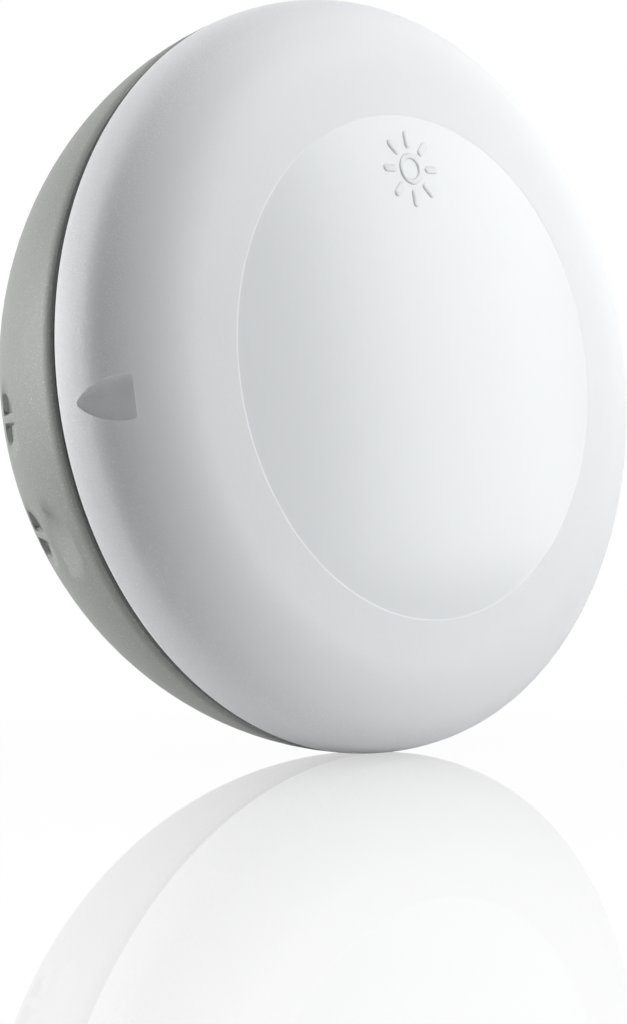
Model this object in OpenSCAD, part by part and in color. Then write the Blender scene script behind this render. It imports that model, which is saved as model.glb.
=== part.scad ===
// Wall-mounted sun sensor: grey base, milky bayonet cover, two-cell electronics.
// Each piece is drawn lying on its back: x to the right, y up the wall, z out from the wall.
// on_wall() then stands it up: z up, front towards -y, wall plane at y = 0.

/* [Case] */
// Radius of the case where base and cover meet
case_r = 48.5; // [46.5:0.5:52]
// Depth of the base, wall to front lip
lip_depth = 19.6; // [18:0.2:23]
// Bulge radius of the base's side
flank_r = 38; // [34:1:60]
// Wall of the base
wall_t = 2.2; // [1.8:0.1:2.6]
// Floor of the base
floor_t = 2.5; // [2:0.1:3]
// Softened outer edges
edge_soft = 0.25; // [0.1:0.05:0.4]

/* [Cover] */
// Open joint between base and cover
joint_gap = 1.1; // [0.8:0.1:1.5]
// Wall of the cover
cover_t = 2.2; // [1.8:0.1:2.6]
// Radius of the cover's steep side
cover_flank_r = 14; // [12:0.5:18]
// Slope at which the side turns into the shoulder, in degrees
cover_flank_turn = 18; // [12:1:24]
// Radius of the cover's tight shoulder
cover_corner_r = 5.5; // [4.5:0.25:7]
// Slope at which the shoulder turns into the cheek, in degrees
cover_corner_turn = 45; // [40:1:52]
// Radius of the cover's cheek
cover_cheek_r = 14.3; // [13:0.1:16]
// Radius of the shallow dome
dome_r = 500; // [400:10:700]
// Radius of the polished window
window_r = 31.55; // [26:0.05:34]
// Step down from the grained cover to the window
window_sink = 0.15; // [0.1:0.05:0.3]

/* [Bayonet] */
// Outside of the cover's collar, in from the case's radius
collar_in = 4.3; // [4.1:0.1:5.3]
// Wall of the collar
collar_t = 1.8; // [1.4:0.1:2.2]
// Number of lugs and ledges
lug_count = 4; // [3:1:5]
// Angle that each lug spans
lug_span = 14; // [10:1:15]
// Angle that each ledge spans
ledge_span = 16; // [12:1:18]
// Thickness of lugs and ledges
lug_t = 1.8; // [1.4:0.1:2]
// How far a lug stands out from the collar
lug_reach = 1.4; // [1:0.1:1.5]
// Depth of the ledges below the lip
ledge_drop = 0.8; // [0.5:0.1:1.2]
// Free play between lug and ledge
lug_play = 0.2; // [0.1:0.05:0.3]
// Angle of the first lug, clear of the arrow
lug_start = 45; // [20:1:70]

/* [Seal] */
// Outer radius of the seal, back from the case's side
seal_back = 0.6; // [0.4:0.1:0.8]
// Width of the seal's flat
seal_w = 1.3; // [1:0.1:1.5]
// Width of the tongue in the cover's rim
tongue_w = 0.7; // [0.5:0.1:0.9]
// Height of the tongue
tongue_h = 0.8; // [0.5:0.1:1]

/* [Arrow and marks] */
// Angle of the cover's arrow and the closed mark, from 3 o'clock
arrow_angle = 180.7; // [170:0.1:190]
// Depth of the arrow's tip in front of the cover's rim
arrow_tip_rise = 3.1; // [2.5:0.1:4]
// Tilt of the arrow's floor from the axis
arrow_tilt = 40; // [36:1:44]
// Length of the arrow
arrow_l = 6.5; // [5.5:0.1:7]
// Width of the arrow at its base
arrow_w = 4.9; // [4:0.1:5.5]
// Rounding of the tips of the arrow and the marks
tip_round = 0.8; // [0.5:0.1:1.2]
// Angle from the closed mark to the open mark
unlock_turn = 18; // [17:1:22]
// Length of each mark up the side
mark_l = 5.6; // [5:0.1:6]
// Width of each mark round the side
mark_w = 6.2; // [5:0.1:7]
// Depth of a mark's pockets
mark_sink = 0.7; // [0.5:0.1:1]
// Width of the raised rib in a mark
pointer_w = 1.5; // [1:0.1:2]
// Distance from the wall to a mark
mark_start = 3.6; // [2.5:0.1:4]
// Radius of the thumb recess's round end, in front of the open mark
thumb_r = 3.5; // [3:0.1:4]
// Middle of the thumb recess's round end, out from the wall
thumb_depth = 12.4; // [11:0.2:12.6]
// How far the thumb recess is sunk at its round end
thumb_sink = 0.5; // [0.3:0.05:0.8]
// Slope of the thumb recess's floor, in degrees
thumb_slope = 4; // [2:0.5:6]

/* [Wall fixing] */
// Middle of a screw slot, in from the case's radius
slot_in = 18.5; // [17.5:0.5:20.5]
// Width of a screw slot
slot_w = 4.5; // [4:0.1:5]
// Length of a screw slot
slot_l = 8; // [6:0.5:9]
// Wall round a screw slot
tower_wall = 3.2; // [2.5:0.1:3.5]
// Height of the pad round a slot above the floor
tower_h = 1.5; // [1:0.1:2]

/* [Circuit board] */
// Edge of the board, in from the case's radius
board_in = 8.5; // [8:0.25:9.5]
// Thickness of the board
board_t = 1.6; // [1.2:0.1:2]
// Depth of the board's back above the floor
board_lift = 5.5; // [5:0.1:6]
// Circle of board screws, in from the board's edge
boss_in = 5; // [4.5:0.25:6]
// Outer radius of a boss
boss_r = 3; // [2.6:0.1:3.4]
// Radius of a board screw's shank
screw_r = 1.25; // [1:0.05:1.4]
// Radius of a board screw's head
screw_head_r = 2.6; // [2.2:0.1:2.8]
// Height of a board screw's head
screw_head_h = 1.7; // [1.4:0.1:2]
// Length of a board screw's shank below the head
screw_l = 6; // [5:0.25:6.25]
// Clearance of the board round pads and screws
board_gap = 0.4; // [0.3:0.05:0.5]

/* [Cells and tray] */
// Diameter of an AAA cell
cell_d = 10.5; // [10.2:0.1:10.8]
// Length of an AAA cell over its plus nub
cell_l = 44.5; // [43:0.5:45]
// Distance between the two cells' axes
cell_pitch = 12; // [11.8:0.1:12.4]
// Middle of the pair of cells, in from the case's radius
pair_in = 30; // [29.5:0.1:30.2]
// Clearance round a cell
cell_gap = 0.25; // [0.2:0.05:0.3]
// Floor of the tray under a cell
tray_floor = 1.2; // [1:0.1:1.6]
// Side wall of the tray
tray_wall = 1.05; // [0.9:0.05:1.2]
// End wall of the tray
tray_end = 1.4; // [1.2:0.1:1.6]
// How far the tray's arms reach past the cells' axes
arm_rise = 2; // [1.5:0.25:2.5]
// Room for a contact spring
spring_room = 3.2; // [2.8:0.1:3.4]
// Thickness of a contact plate
plate_t = 0.4; // [0.3:0.05:0.5]
// Width of a contact plate
plate_w = 7.4; // [6.8:0.1:7.6]
// Spring wire diameter
spring_wire = 0.5; // [0.4:0.05:0.6]
// Radius of the spring's wide end
spring_wide_r = 3.2; // [2.8:0.1:3.4]
// Radius of the spring's narrow end
spring_tip_r = 1.6; // [1.4:0.1:1.8]
// Turns of a contact spring
spring_turns = 3; // [2:0.5:3]

/* [Light sensor] */
// Height of the light sensor above the case's centre
sensor_up = 14; // [13:0.25:15]
// Radius of the sensor's stand
stand_r = 3.6; // [3.4:0.1:4]
// Height of the stand
stand_h = 14.5; // [12:0.25:15]
// Radius of the stand's foot
stand_foot_r = 5.5; // [5:0.1:6]
// Thickness of the stand's foot
stand_foot_t = 1.2; // [1:0.1:1.5]
// Radius of the clear package
eye_r = 2.5; // [2.3:0.1:2.6]
// Height of the clear package's straight part
eye_h = 1.6; // [1:0.1:2]

/* [Status light] */
// Radius of the status light
led_r = 1.5; // [1.3:0.1:1.6]
// Straight height of the status light
led_h = 2.6; // [2:0.1:3]

/* [Set-up switch] */
// Side of the switch housing
switch_w = 6; // [5.8:0.1:6.4]
// Height of the switch housing
switch_h = 3.4; // [3.2:0.1:3.8]
// Thickness of the switch's steel plate
switch_plate_t = 0.3; // [0.2:0.05:0.4]
// Radius of the plunger
plunger_r = 1.7; // [1.5:0.05:1.8]
// Radius of the plunger's flange in the housing
plunger_flange_r = 2.2; // [2.1:0.05:2.3]
// Thickness of the plunger's flange
plunger_flange_t = 0.8; // [0.6:0.1:1]
// How far the plunger stands out of the plate
plunger_out = 3.5; // [3:0.1:5]
// Radius of the button's cap
button_r = 3; // [2.6:0.1:3.4]
// Height of the button's cap
button_h = 2; // [1.6:0.1:2.4]
// Travel of the button
button_travel = 0.5; // [0.3:0.05:0.6]

/* [Threshold trimmer] */
// Side of the trimmer housing
trimmer_w = 9; // [8.6:0.1:9.2]
// Height of the trimmer housing
trimmer_h = 4; // [3.6:0.1:4.4]
// Radius of the dial
dial_r = 4.6; // [4:0.1:4.8]
// Height of the dial
dial_h = 2.4; // [2:0.1:3]
// Radius of the dial's shaft
dial_shaft_r = 2; // [1.6:0.1:2.4]
// Length of the dial's shaft in the housing
dial_shaft_l = 2.6; // [2:0.1:3]
// Number of grip flutes round the dial
flute_count = 18; // [12:1:24]
// Radius of a grip flute
flute_r = 0.35; // [0.25:0.05:0.45]

/* [Radio] */
// Width of the radio board
radio_w = 18; // [17:0.5:18]
// Height of the radio board
radio_h = 13; // [12.5:0.25:13.5]
// Thickness of the radio board
radio_t = 0.8; // [0.6:0.1:1]
// Middle of the radio board, in from the board's edge
radio_in = 11.5; // [11.25:0.25:12]
// Edge of the radio board left round its shield
shield_margin = 1.2; // [1:0.1:1.5]
// Height of the shield
shield_h = 2.2; // [1.8:0.1:2.6]
// Sheet thickness of the shield
shield_t = 0.3; // [0.2:0.05:0.4]
// Antenna loop, in from the board's edge
antenna_in = 1.8; // [1.4:0.1:2.2]
// Angle that the antenna loop spans
antenna_turn = 129; // [110:1:130]
// Antenna wire diameter
antenna_wire = 1; // [0.8:0.1:1.2]
// Height of the antenna above the board
antenna_up = 3; // [2.5:0.25:4]

/* [Board parts] */
// Side of the microcontroller
chip_w = 7; // [6.5:0.1:7]
// Height of the microcontroller
chip_h = 1.1; // [0.9:0.1:1.4]
// Leads on each side of the microcontroller
chip_leads = 8; // [6:1:10]
// Length of a lead beyond the body
lead_l = 1; // [0.8:0.1:1.2]
// Length of the crystal
crystal_l = 11; // [10:0.5:11.5]
// Width of the crystal
crystal_w = 4.6; // [4:0.1:5]
// Height of the crystal
crystal_h = 3.5; // [3:0.1:4]
// Radius of the reservoir capacitor
cap_r = 4; // [3.5:0.1:4.2]
// Height of the reservoir capacitor
cap_h = 8.5; // [7:0.25:10]
// Length of a chip part
smd_l = 2; // [1.6:0.1:2.2]
// Width of a chip part
smd_w = 1.25; // [1:0.05:1.4]
// Height of a chip part
smd_h = 0.6; // [0.4:0.05:0.8]

/* [Hidden] */
$fn = 96;
arc_steps = 14;         // straight pieces in each arc of a turned profile
cut = 0.5;              // overrun of every cut, and how far joined shapes sink into each other
run_fit = 0.05;         // radial clearance of a shaft or plunger in its bore
seat_gap = 0.1;         // gap between fixed pieces that are pushed into place
lead_r = 0.25;          // radius of a round component lead
lead_out = 1;           // how far a lead stands out of the board's back
lead_pitch = 2.54;      // distance between two leads of a small part

silver_grey = [0.68, 0.69, 0.67];
milky = [0.93, 0.94, 0.95];
seal_black = [0.12, 0.12, 0.11];
board_green = [0.1, 0.36, 0.2];
tinned = [0.75, 0.76, 0.77];
dark_plastic = [0.16, 0.16, 0.17];
white_plastic = [0.9, 0.9, 0.88];
clear_epoxy = [0.8, 0.88, 0.92, 0.6];
cell_sleeve = [0.2, 0.32, 0.5];

// Radii and places that follow the case
collar_r = case_r - collar_in;
board_r = case_r - board_in;
boss_ring_r = board_r - boss_in;
antenna_r = board_r - antenna_in;
radio_up = board_r - radio_in;
slot_pitch = 2*(case_r - slot_in);
pair_drop = case_r - pair_in;

// Depths out from the wall
rim_depth = lip_depth + joint_gap;
ledge_front = lip_depth - ledge_drop;
ledge_back = ledge_front - lug_t;
lug_front = ledge_back - lug_play;
lug_back = lug_front - lug_t;
board_back = floor_t + board_lift;
board_front = board_back + board_t;
cell_r = cell_d/2;
cell_depth = board_front + tray_floor + cell_gap + cell_r;

function along(angle) = [cos(angle), sin(angle)];

// Points of an arc without its last one, so that arcs follow each other without doubles
function arc(centre, radius, from, to, steps = arc_steps) =
    [for (i = [0:steps - 1]) centre + radius*along(from + (to - from)*i/steps)];

module on_wall() rotate([90, 0, 0]) children();

// A ring, or a stretch of one, with a rectangular section
module ring(inner, outer, back, front, turn = 360)
    rotate_extrude(angle = turn) translate([inner, back]) square([outer - inner, front - back]);

// A plate whose corners are true arcs
module round_plate(width, height, radius, thick)
    linear_extrude(thick) {
        square([width - 2*radius, height], center = true);
        square([width, height - 2*radius], center = true);
        for (x = [-1, 1], y = [-1, 1])
            translate([x*(width/2 - radius), y*(height/2 - radius)]) circle(radius);
    }

// A bar with round ends along x
module stadium(half, radius, thick) {
    for (x = [-half, half]) translate([x, 0, 0]) cylinder(thick, radius, radius);
    translate([-half, -radius, 0]) cube([2*half, 2*radius, thick]);
}

module block(width, height, thick) translate([-width/2, -height/2, 0]) cube([width, height, thick]);

/* Bayonet: lugs on the cover turn in behind ledges on the base */
lug_angles = [for (i = [0:lug_count - 1]) lug_start + i*360/lug_count];
ledge_r = collar_r + lug_play + seat_gap;
stop_span = 2;          // angle that a stop spans
stop_play = 0.4;        // angle between a lug and its stop

// A stretch of ring at every lug, from one angle past the lug's middle to another
module lug_ring(inner, outer, back, front, from, to)
    for (a = lug_angles) rotate(a + from) ring(inner, outer, back, front, to - from);

/* Grey base */
side_c = [case_r - flank_r, lip_depth];
function side_r(depth) = side_c.x + sqrt(pow(flank_r, 2) - pow(lip_depth - depth, 2));
function inside_r(depth) = side_c.x + sqrt(pow(flank_r - wall_t, 2) - pow(lip_depth - depth, 2));
boss_angles = [45, 135, 270];
slot_r = slot_w/2;
slot_half = slot_l/2 - slot_r;
tower_r = slot_r + tower_wall;
rib_t_share = 0.55;     // thickness of a floor rib as a share of the wall
rib_h_share = 0.4;      // height of a floor rib as a share of the floor
rib_ring_share = 0.42;  // radius of the ring rib as a share of the case's radius
rib_t = rib_t_share*wall_t;
rib_top = floor_t + rib_h_share*floor_t;
rib_ring = rib_ring_share*case_r;

module base_shell() {
    soft_turn = asin(edge_soft/flank_r);
    outer = concat(
        arc(side_c, flank_r, -asin(lip_depth/flank_r), -soft_turn),
        [side_c + flank_r*along(-soft_turn), [case_r - edge_soft, lip_depth]]);
    inner = concat(
        [[case_r - wall_t, lip_depth]],
        arc(side_c, flank_r - wall_t, -soft_turn, -asin((lip_depth - floor_t)/(flank_r - wall_t))),
        [[inside_r(floor_t), floor_t]]);
    rotate_extrude() polygon(concat([[0, 0]], outer, inner, [[0, floor_t]]));
}

// Outline of an arrow that points down, its tip at 0: a rounded tip runs into two bulged sides, which run
// into a straight end with rounded corners
pointer_wide_share = 0.71;   // where a pointer is widest, as a share of its length
module pointer_outline(length, width) {
    half = width/2;
    widest = pointer_wide_share*length;
    bulge_r = (pow(half, 2) + pow(widest - tip_round, 2) - pow(tip_round, 2))/(2*(half - tip_round));
    meet = atan2(widest - tip_round, bulge_r - half);
    right = concat(arc([half - bulge_r, widest], bulge_r, -meet, 0),
                   arc([half - tip_round, length - tip_round], tip_round, 0, 90),
                   [[half - tip_round, length]]);
    polygon(concat(arc([0, tip_round], tip_round, 180 + meet, 360 - meet), right,
                   [for (i = [len(right) - 1:-1:1]) [-right[i].x, right[i].y]]));
}

// Stands its children on the base's side: x out of the surface, y round it, z up it
module on_side(angle, depth)
    rotate(angle) translate([side_r(depth), 0, depth])
        rotate([0, asin((lip_depth - depth)/flank_r), 0]) children();

// A sunk arrow towards the cover with a raised rib along its middle
module side_mark(angle) on_side(angle, mark_start + mark_l/2) difference() {
    translate([-mark_sink, 0, mark_l/2]) rotate([90, 0, 90]) linear_extrude(mark_sink + cut)
        rotate(180) pointer_outline(mark_l, mark_w);
    translate([-pointer_w/2, 0, -mark_l]) cylinder(2*mark_l, pointer_w/2, pointer_w/2);
}

// A scoop for a fingertip: flat and round-ended, deepest at its end and running out towards the mark
module thumb_recess(angle) on_side(angle, thumb_depth)
    translate([-thumb_sink, 0, thumb_r]) rotate([0, -thumb_slope, 0]) translate([0, 0, -thumb_r]) {
        rotate([0, 90, 0]) cylinder(thumb_sink + 2*cut, thumb_r, thumb_r);
        translate([0, -thumb_r, mark_start + mark_l/2 - thumb_depth])
            cube([thumb_sink + 2*cut, 2*thumb_r, thumb_depth - mark_start - mark_l/2]);
    }

module floor_rib(angle, from, to)
    rotate(angle) translate([from, -rib_t/2, floor_t - cut])
        cube([to - from, rib_t, rib_top - floor_t + cut]);

module wall_base() color(silver_grey) on_wall() difference() {
    union() {
        base_shell();
        ring(rib_ring - rib_t, rib_ring, floor_t - cut, rib_top);
        for (a = boss_angles) floor_rib(a, rib_ring - cut, boss_ring_r);
        for (a = [0, 180]) floor_rib(a, rib_ring - cut, slot_pitch/2 - slot_half - slot_r - tower_wall/2);
        lug_ring(ledge_r, inside_r(ledge_back) + wall_t/2, ledge_back, ledge_front,
                 -ledge_span/2, ledge_span/2);
        // Stops at the closed and the open end of the turn
        lug_ring(ledge_r, inside_r(lug_back) + wall_t/2, lug_back, ledge_back + cut,
                 -lug_span/2 - stop_play - stop_span, -lug_span/2 - stop_play);
        lug_ring(ledge_r, inside_r(lug_back) + wall_t/2, lug_back, ledge_back,
                 unlock_turn + lug_span/2 + stop_play, unlock_turn + lug_span/2 + stop_play + stop_span);
        for (a = boss_angles)
            rotate(a) translate([boss_ring_r, 0, floor_t - cut]) cylinder(board_lift + cut, boss_r, boss_r);
        for (s = [-1, 1])
            translate([s*slot_pitch/2, 0, floor_t - cut]) stadium(slot_half, tower_r, tower_h + cut);
    }
    for (s = [-1, 1])
        translate([s*slot_pitch/2, 0, -cut]) stadium(slot_half, slot_r, floor_t + tower_h + 2*cut);
    for (a = boss_angles)
        rotate(a) translate([boss_ring_r, 0, board_front - screw_l - seat_gap])
            cylinder(screw_l + cut, screw_r + run_fit, screw_r + run_fit);
    side_mark(arrow_angle);
    side_mark(arrow_angle + unlock_turn);
    thumb_recess(arrow_angle + unlock_turn);
}

/* Seal in the joint, its tongue in the cover's rim */
seal_out = case_r - seal_back;
tongue_in = seal_out - (seal_w + tongue_w)/2;

module seal_ring() color(seal_black) on_wall() {
    ring(seal_out - seal_w, seal_out, lip_depth, rim_depth);
    ring(tongue_in, tongue_in + tongue_w, rim_depth - joint_gap/2, rim_depth + tongue_h);
}

/* Milky cover: arcs that run into each other, side, shoulder, cheek and dome */
flank_c = [case_r - cover_flank_r, rim_depth];
corner_c = flank_c + (cover_flank_r - cover_corner_r)*along(cover_flank_turn);
cheek_c = corner_c + (cover_corner_r - cover_cheek_r)*along(cover_corner_turn);
dome_c = [0, cheek_c.y - sqrt(pow(dome_r - cover_cheek_r, 2) - pow(cheek_c.x, 2))];
cheek_turn = atan2(cheek_c.y - dome_c.y, cheek_c.x);
dome_top = dome_c.y + dome_r;
collar_front = cheek_c.y + sqrt(pow(cover_cheek_r - cover_t/2, 2) - pow(collar_r - cheek_c.x, 2));

module cover_shell() {
    soft_turn = asin(edge_soft/cover_flank_r);
    ledge_turn = acos((window_r + window_sink)/dome_r);
    window_turn = acos(window_r/(dome_r - window_sink));
    outer = concat(
        [[case_r - edge_soft, rim_depth]],
        arc(flank_c, cover_flank_r, soft_turn, cover_flank_turn),
        arc(corner_c, cover_corner_r, cover_flank_turn, cover_corner_turn),
        arc(cheek_c, cover_cheek_r, cover_corner_turn, cheek_turn),
        arc(dome_c, dome_r, cheek_turn, ledge_turn),
        [dome_c + dome_r*along(ledge_turn)],
        arc(dome_c, dome_r - window_sink, window_turn, 90),
        [[0, dome_top - window_sink]]);
    inner = concat(
        [[0, dome_top - cover_t]],
        arc(dome_c, dome_r - cover_t, 90 - (90 - cheek_turn)/arc_steps, cheek_turn),
        arc(cheek_c, cover_cheek_r - cover_t, cheek_turn, cover_corner_turn),
        arc(corner_c, cover_corner_r - cover_t, cover_corner_turn, cover_flank_turn),
        arc(flank_c, cover_flank_r - cover_t, cover_flank_turn, 0),
        [[case_r - cover_t, rim_depth]]);
    rotate_extrude() polygon(concat(outer, inner));
}

// Sunk arrow that points at the base
module sunk_arrow()
    rotate(arrow_angle)
        translate([flank_c.x + sqrt(pow(cover_flank_r, 2) - pow(arrow_tip_rise, 2)), 0,
                   rim_depth + arrow_tip_rise])
            rotate([0, -arrow_tilt, 0]) rotate([90, 0, 90]) linear_extrude(cover_corner_r)
                    pointer_outline(arrow_l, arrow_w);

module front_cover() color(milky) on_wall() difference() {
    union() {
        cover_shell();
        ring(collar_r - collar_t, collar_r, lug_back, collar_front);
        lug_ring(collar_r - cut, collar_r + lug_reach, lug_back, lug_front, -lug_span/2, lug_span/2);
    }
    ring(tongue_in, tongue_in + tongue_w, rim_depth - cut, rim_depth + tongue_h);
    sunk_arrow();
}

/* Tray for the two cells, with its pegs and contacts */
bay_signs = [1, -1];    // the plus nub points right in the upper bay and left in the lower one
tray_inner = cell_l + spring_room + 3*plate_t;
tray_l = tray_inner + 2*tray_end;
tray_w = cell_pitch + 2*(cell_r + cell_gap + tray_wall);
tray_top = cell_depth + arm_rise;
peg_r_share = 0.2;      // radius of a tray peg as a share of the cell's radius
peg_place_share = 0.33; // place of a tray peg as a share of the tray's length
thumb_share = 0.4;      // opening between the arms as a share of the cell's length
tail_w_share = 0.16;    // width of a plate's tail as a share of the plate's width
dimple_share = 0.2;     // radius of a plus plate's dimple as a share of the plate's width
peg_r = peg_r_share*cell_r;
tail_w = tail_w_share*plate_w;

// Draws in the axis of a bay: x along the cell towards its plus nub
module in_bay(sign)
    translate([0, sign*cell_pitch/2 - pair_drop, cell_depth]) rotate(sign > 0 ? 0 : 180) children();

module pegs(radius, from, to)
    for (s = [-1, 1])
        translate([s*peg_place_share*tray_l, -pair_drop, from]) cylinder(to - from, radius, radius);

// The tails that carry the plates' current through the tray's floor and the board
module plate_tails(gap = 0)
    for (sign = bay_signs) in_bay(sign)
        for (end = [-1, 1])
            translate([end*(tray_inner - plate_t)/2, 0, board_back - lead_out - cell_depth - gap])
                block(plate_t + 2*gap, tail_w + 2*gap, cell_depth - board_back + lead_out + gap);

module battery_holder() color(dark_plastic) on_wall() {
    difference() {
        union() {
            translate([0, -pair_drop, board_front])
                round_plate(tray_l, tray_w, tray_end, tray_top - board_front);
            pegs(peg_r, board_back, board_front + cut);
        }
        for (sign = bay_signs) in_bay(sign)
            translate([-tray_inner/2, 0, 0]) rotate([0, 90, 0])
                cylinder(tray_inner, cell_r + cell_gap, cell_r + cell_gap);
        // Open between the arms, where a thumb lifts the cells
        translate([0, -pair_drop, cell_depth]) block(thumb_share*cell_l, 2*tray_w, 2*arm_rise);
        plate_tails(seat_gap);
    }
}

// One cell: can with rolled ends, and the plus nub
module cell() {
    roll = cell_r*cell_roll_share;
    nub_r = cell_r*nub_r_share;
    nub_l = cell_r*nub_l_share;
    translate([tray_inner/2 - 2*plate_t - cell_l, 0, 0]) rotate([0, 90, 0]) rotate_extrude()
        polygon([[0, 0], [cell_r - roll, 0], [cell_r, roll], [cell_r, cell_l - nub_l - roll],
                 [cell_r - roll, cell_l - nub_l], [nub_r, cell_l - nub_l],
                 [nub_r, cell_l - roll/2], [nub_r - roll/2, cell_l], [0, cell_l]]);
}
cell_roll_share = 0.1;  // rolled edge of a cell as a share of its radius
nub_r_share = 0.35;     // radius of the plus nub as a share of the cell's radius
nub_l_share = 0.2;      // length of the plus nub as a share of the cell's radius

module upper_cell() color(cell_sleeve) on_wall() in_bay(bay_signs[0]) cell();
module lower_cell() color(cell_sleeve) on_wall() in_bay(bay_signs[1]) cell();

module contact_plates() color(tinned) on_wall() {
    for (sign = bay_signs) in_bay(sign) {
        for (end = [-1, 1])
            translate([end*(tray_inner - plate_t)/2, 0, -plate_w/2]) block(plate_t, plate_w, plate_w);
        translate([tray_inner/2 - 2*plate_t, 0, 0]) rotate([0, 90, 0])
            cylinder(1.5*plate_t, dimple_share*plate_w, dimple_share*plate_w);
    }
    // Link from the upper bay's spring plate to the lower bay's plus plate, over the tray's divider
    translate([(plate_t - tray_inner)/2, -pair_drop, tray_top + seat_gap])
        block(plate_t, cell_pitch, cell_depth + plate_w/2 - tray_top - seat_gap);
    plate_tails();
}

/* A contact spring: wire swept along a conical helix */
wire_sides = 6;
turn_steps = 12;
function coil_point(t) =
    let (r = spring_wide_r + (spring_tip_r - spring_wide_r)*t/spring_turns)
    [spring_wire/2 + run_fit + (spring_room - spring_wire - 2*run_fit)*t/spring_turns,
     r*cos(360*t), r*sin(360*t)];
function unit(v) = v/norm(v);

module coil() {
    steps = spring_turns*turn_steps;
    centres = [for (i = [0:steps]) coil_point(i/turn_steps)];
    points = [for (i = [0:steps], k = [0:wire_sides - 1])
        let (out = [0, cos(360*i/turn_steps), sin(360*i/turn_steps)],
             way = unit(centres[min(i + 1, steps)] - centres[max(i - 1, 0)]),
             side = unit(cross(way, out)),
             up = cross(side, way))
        centres[i] + spring_wire/2*(cos(360*k/wire_sides)*up + sin(360*k/wire_sides)*side)];
    faces = concat(
        [for (i = [0:steps - 1], k = [0:wire_sides - 1], half = [0, 1])
            let (a = i*wire_sides + k, b = i*wire_sides + (k + 1)%wire_sides)
            half == 0 ? [a, b, b + wire_sides] : [a, b + wire_sides, a + wire_sides]],
        [for (k = [1:wire_sides - 2]) [0, k + 1, k]],
        [for (k = [1:wire_sides - 2]) let (end = steps*wire_sides) [end, end + k, end + k + 1]]);
    polyhedron(points, faces);
}

module contact_springs() color(tinned) on_wall()
    for (sign = bay_signs) in_bay(sign) translate([plate_t - tray_inner/2, 0, 0]) coil();

/* Places on the board, as shares of its radius */
trimmer_place_shares = [0.42, 0.42];
switch_place_shares = [-0.42, 0.42];
led_place_shares = [-0.33, 0.6];
chip_place_shares = [-0.27, 0.03];
crystal_place_shares = [0, 0.03];
cap_place_shares = [0.28, 0.03];
// Place and turn of each chip part
smd_place_shares = [[-0.42, 0.12], [-0.42, 0.05], [-0.42, -0.02], [0.3, 0.62], [0.3, 0.69], [-0.6, 0.26],
                    [-0.3, 0.72]];
smd_upright_shares = [[0.45, 0.2], [0.54, 0.2], [0.13, 0.5], [0.19, 0.5], [-0.16, 0.42], [-0.12, 0.14],
                      [0.12, 0.14], [0.65, 0.34]];
switch_leg_share = 0.35;  // place of a switch leg as a share of the housing's side
function on_board(shares) = board_r*shares;
function pair(middle, pitch) = [middle - [pitch/2, 0], middle + [pitch/2, 0]];
sensor_leads = pair([0, sensor_up], lead_pitch);
led_leads = pair(on_board(led_place_shares), lead_pitch);
crystal_leads = pair(on_board(crystal_place_shares), 2*lead_pitch);
cap_leads = pair(on_board(cap_place_shares), 1.5*lead_pitch);
switch_legs = [for (x = [-1, 1], y = [-1, 1])
    on_board(switch_place_shares) + switch_leg_share*switch_w*[x, y]];
trimmer_legs = concat(pair(on_board(trimmer_place_shares) - [0, lead_pitch], 2*lead_pitch),
                      [on_board(trimmer_place_shares) + [0, lead_pitch]]);
antenna_feet = [for (s = [-1, 1]) antenna_r*along(90 + s*antenna_turn/2)];

// Round leads from some depth down through the board
module leads(places, top, radius = lead_r)
    for (p = places) translate([p.x, p.y, board_back - lead_out])
        cylinder(top - board_back + lead_out, radius, radius);

module board_part(place, depth = board_front) translate([place.x, place.y, depth]) children();

module circuit_board() color(board_green) on_wall() difference() {
    translate([0, 0, board_back]) cylinder(board_t, board_r, board_r);
    // Clear of the pads round the wall screws
    for (s = [-1, 1])
        translate([s*(slot_pitch/2 - slot_half - tower_r - board_gap + board_r/2), 0, board_back - cut])
            block(board_r, 2*(tower_r + board_gap), board_t + 2*cut);
    for (a = boss_angles)
        rotate(a) translate([boss_ring_r, 0, board_back - cut])
            cylinder(board_t + 2*cut, screw_r + seat_gap, screw_r + seat_gap);
    pegs(peg_r + seat_gap, board_back - cut, board_front + cut);
    plate_tails(seat_gap);
    leads(concat(sensor_leads, led_leads, crystal_leads, cap_leads, switch_legs, trimmer_legs),
          board_front + cut, lead_r + seat_gap);
    leads(antenna_feet, board_front + cut, post_r_share*antenna_wire + seat_gap);
}

screw_dome_share = 0.8; // top of a pan head as a share of its foot
recess_w_share = 0.2;   // width of the cross recess as a share of the head's radius
module board_screws() color(tinned) on_wall()
    for (a = boss_angles)
        rotate(a) translate([boss_ring_r, 0, board_front]) difference() {
            union() {
                cylinder(screw_head_h, screw_head_r, screw_head_r*screw_dome_share);
                translate([0, 0, -screw_l]) cylinder(screw_l + cut, screw_r, screw_r);
            }
            for (t = [0, 90])
                rotate(t) translate([0, 0, screw_head_h/2])
                    block(screw_head_r, recess_w_share*screw_head_r, screw_head_h);
        }

/* Light sensor on its stand */
eye_flange_t = stand_foot_t;
eye_flange_r = eye_r + plate_t;
stand_bore_r = (lead_pitch + stand_r)/3;

module sensor_stand() color(white_plastic) on_wall() board_part([0, sensor_up]) {
    ring(stand_bore_r, stand_foot_r, 0, stand_foot_t);
    ring(stand_bore_r, stand_r, 0, stand_h);
}

// A clear package: flange, straight body and domed top, turned about its axis
module clear_package(flange_r, flange_t, radius, straight) {
    cylinder(flange_t, flange_r, flange_r);
    cylinder(flange_t + straight, radius, radius);
    translate([0, 0, flange_t + straight]) sphere(radius);
}

module light_sensor() color(clear_epoxy) on_wall() {
    board_part([0, sensor_up], board_front + stand_h) clear_package(eye_flange_r, eye_flange_t, eye_r, eye_h);
    leads(sensor_leads, board_front + stand_h + cut);
}

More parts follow.
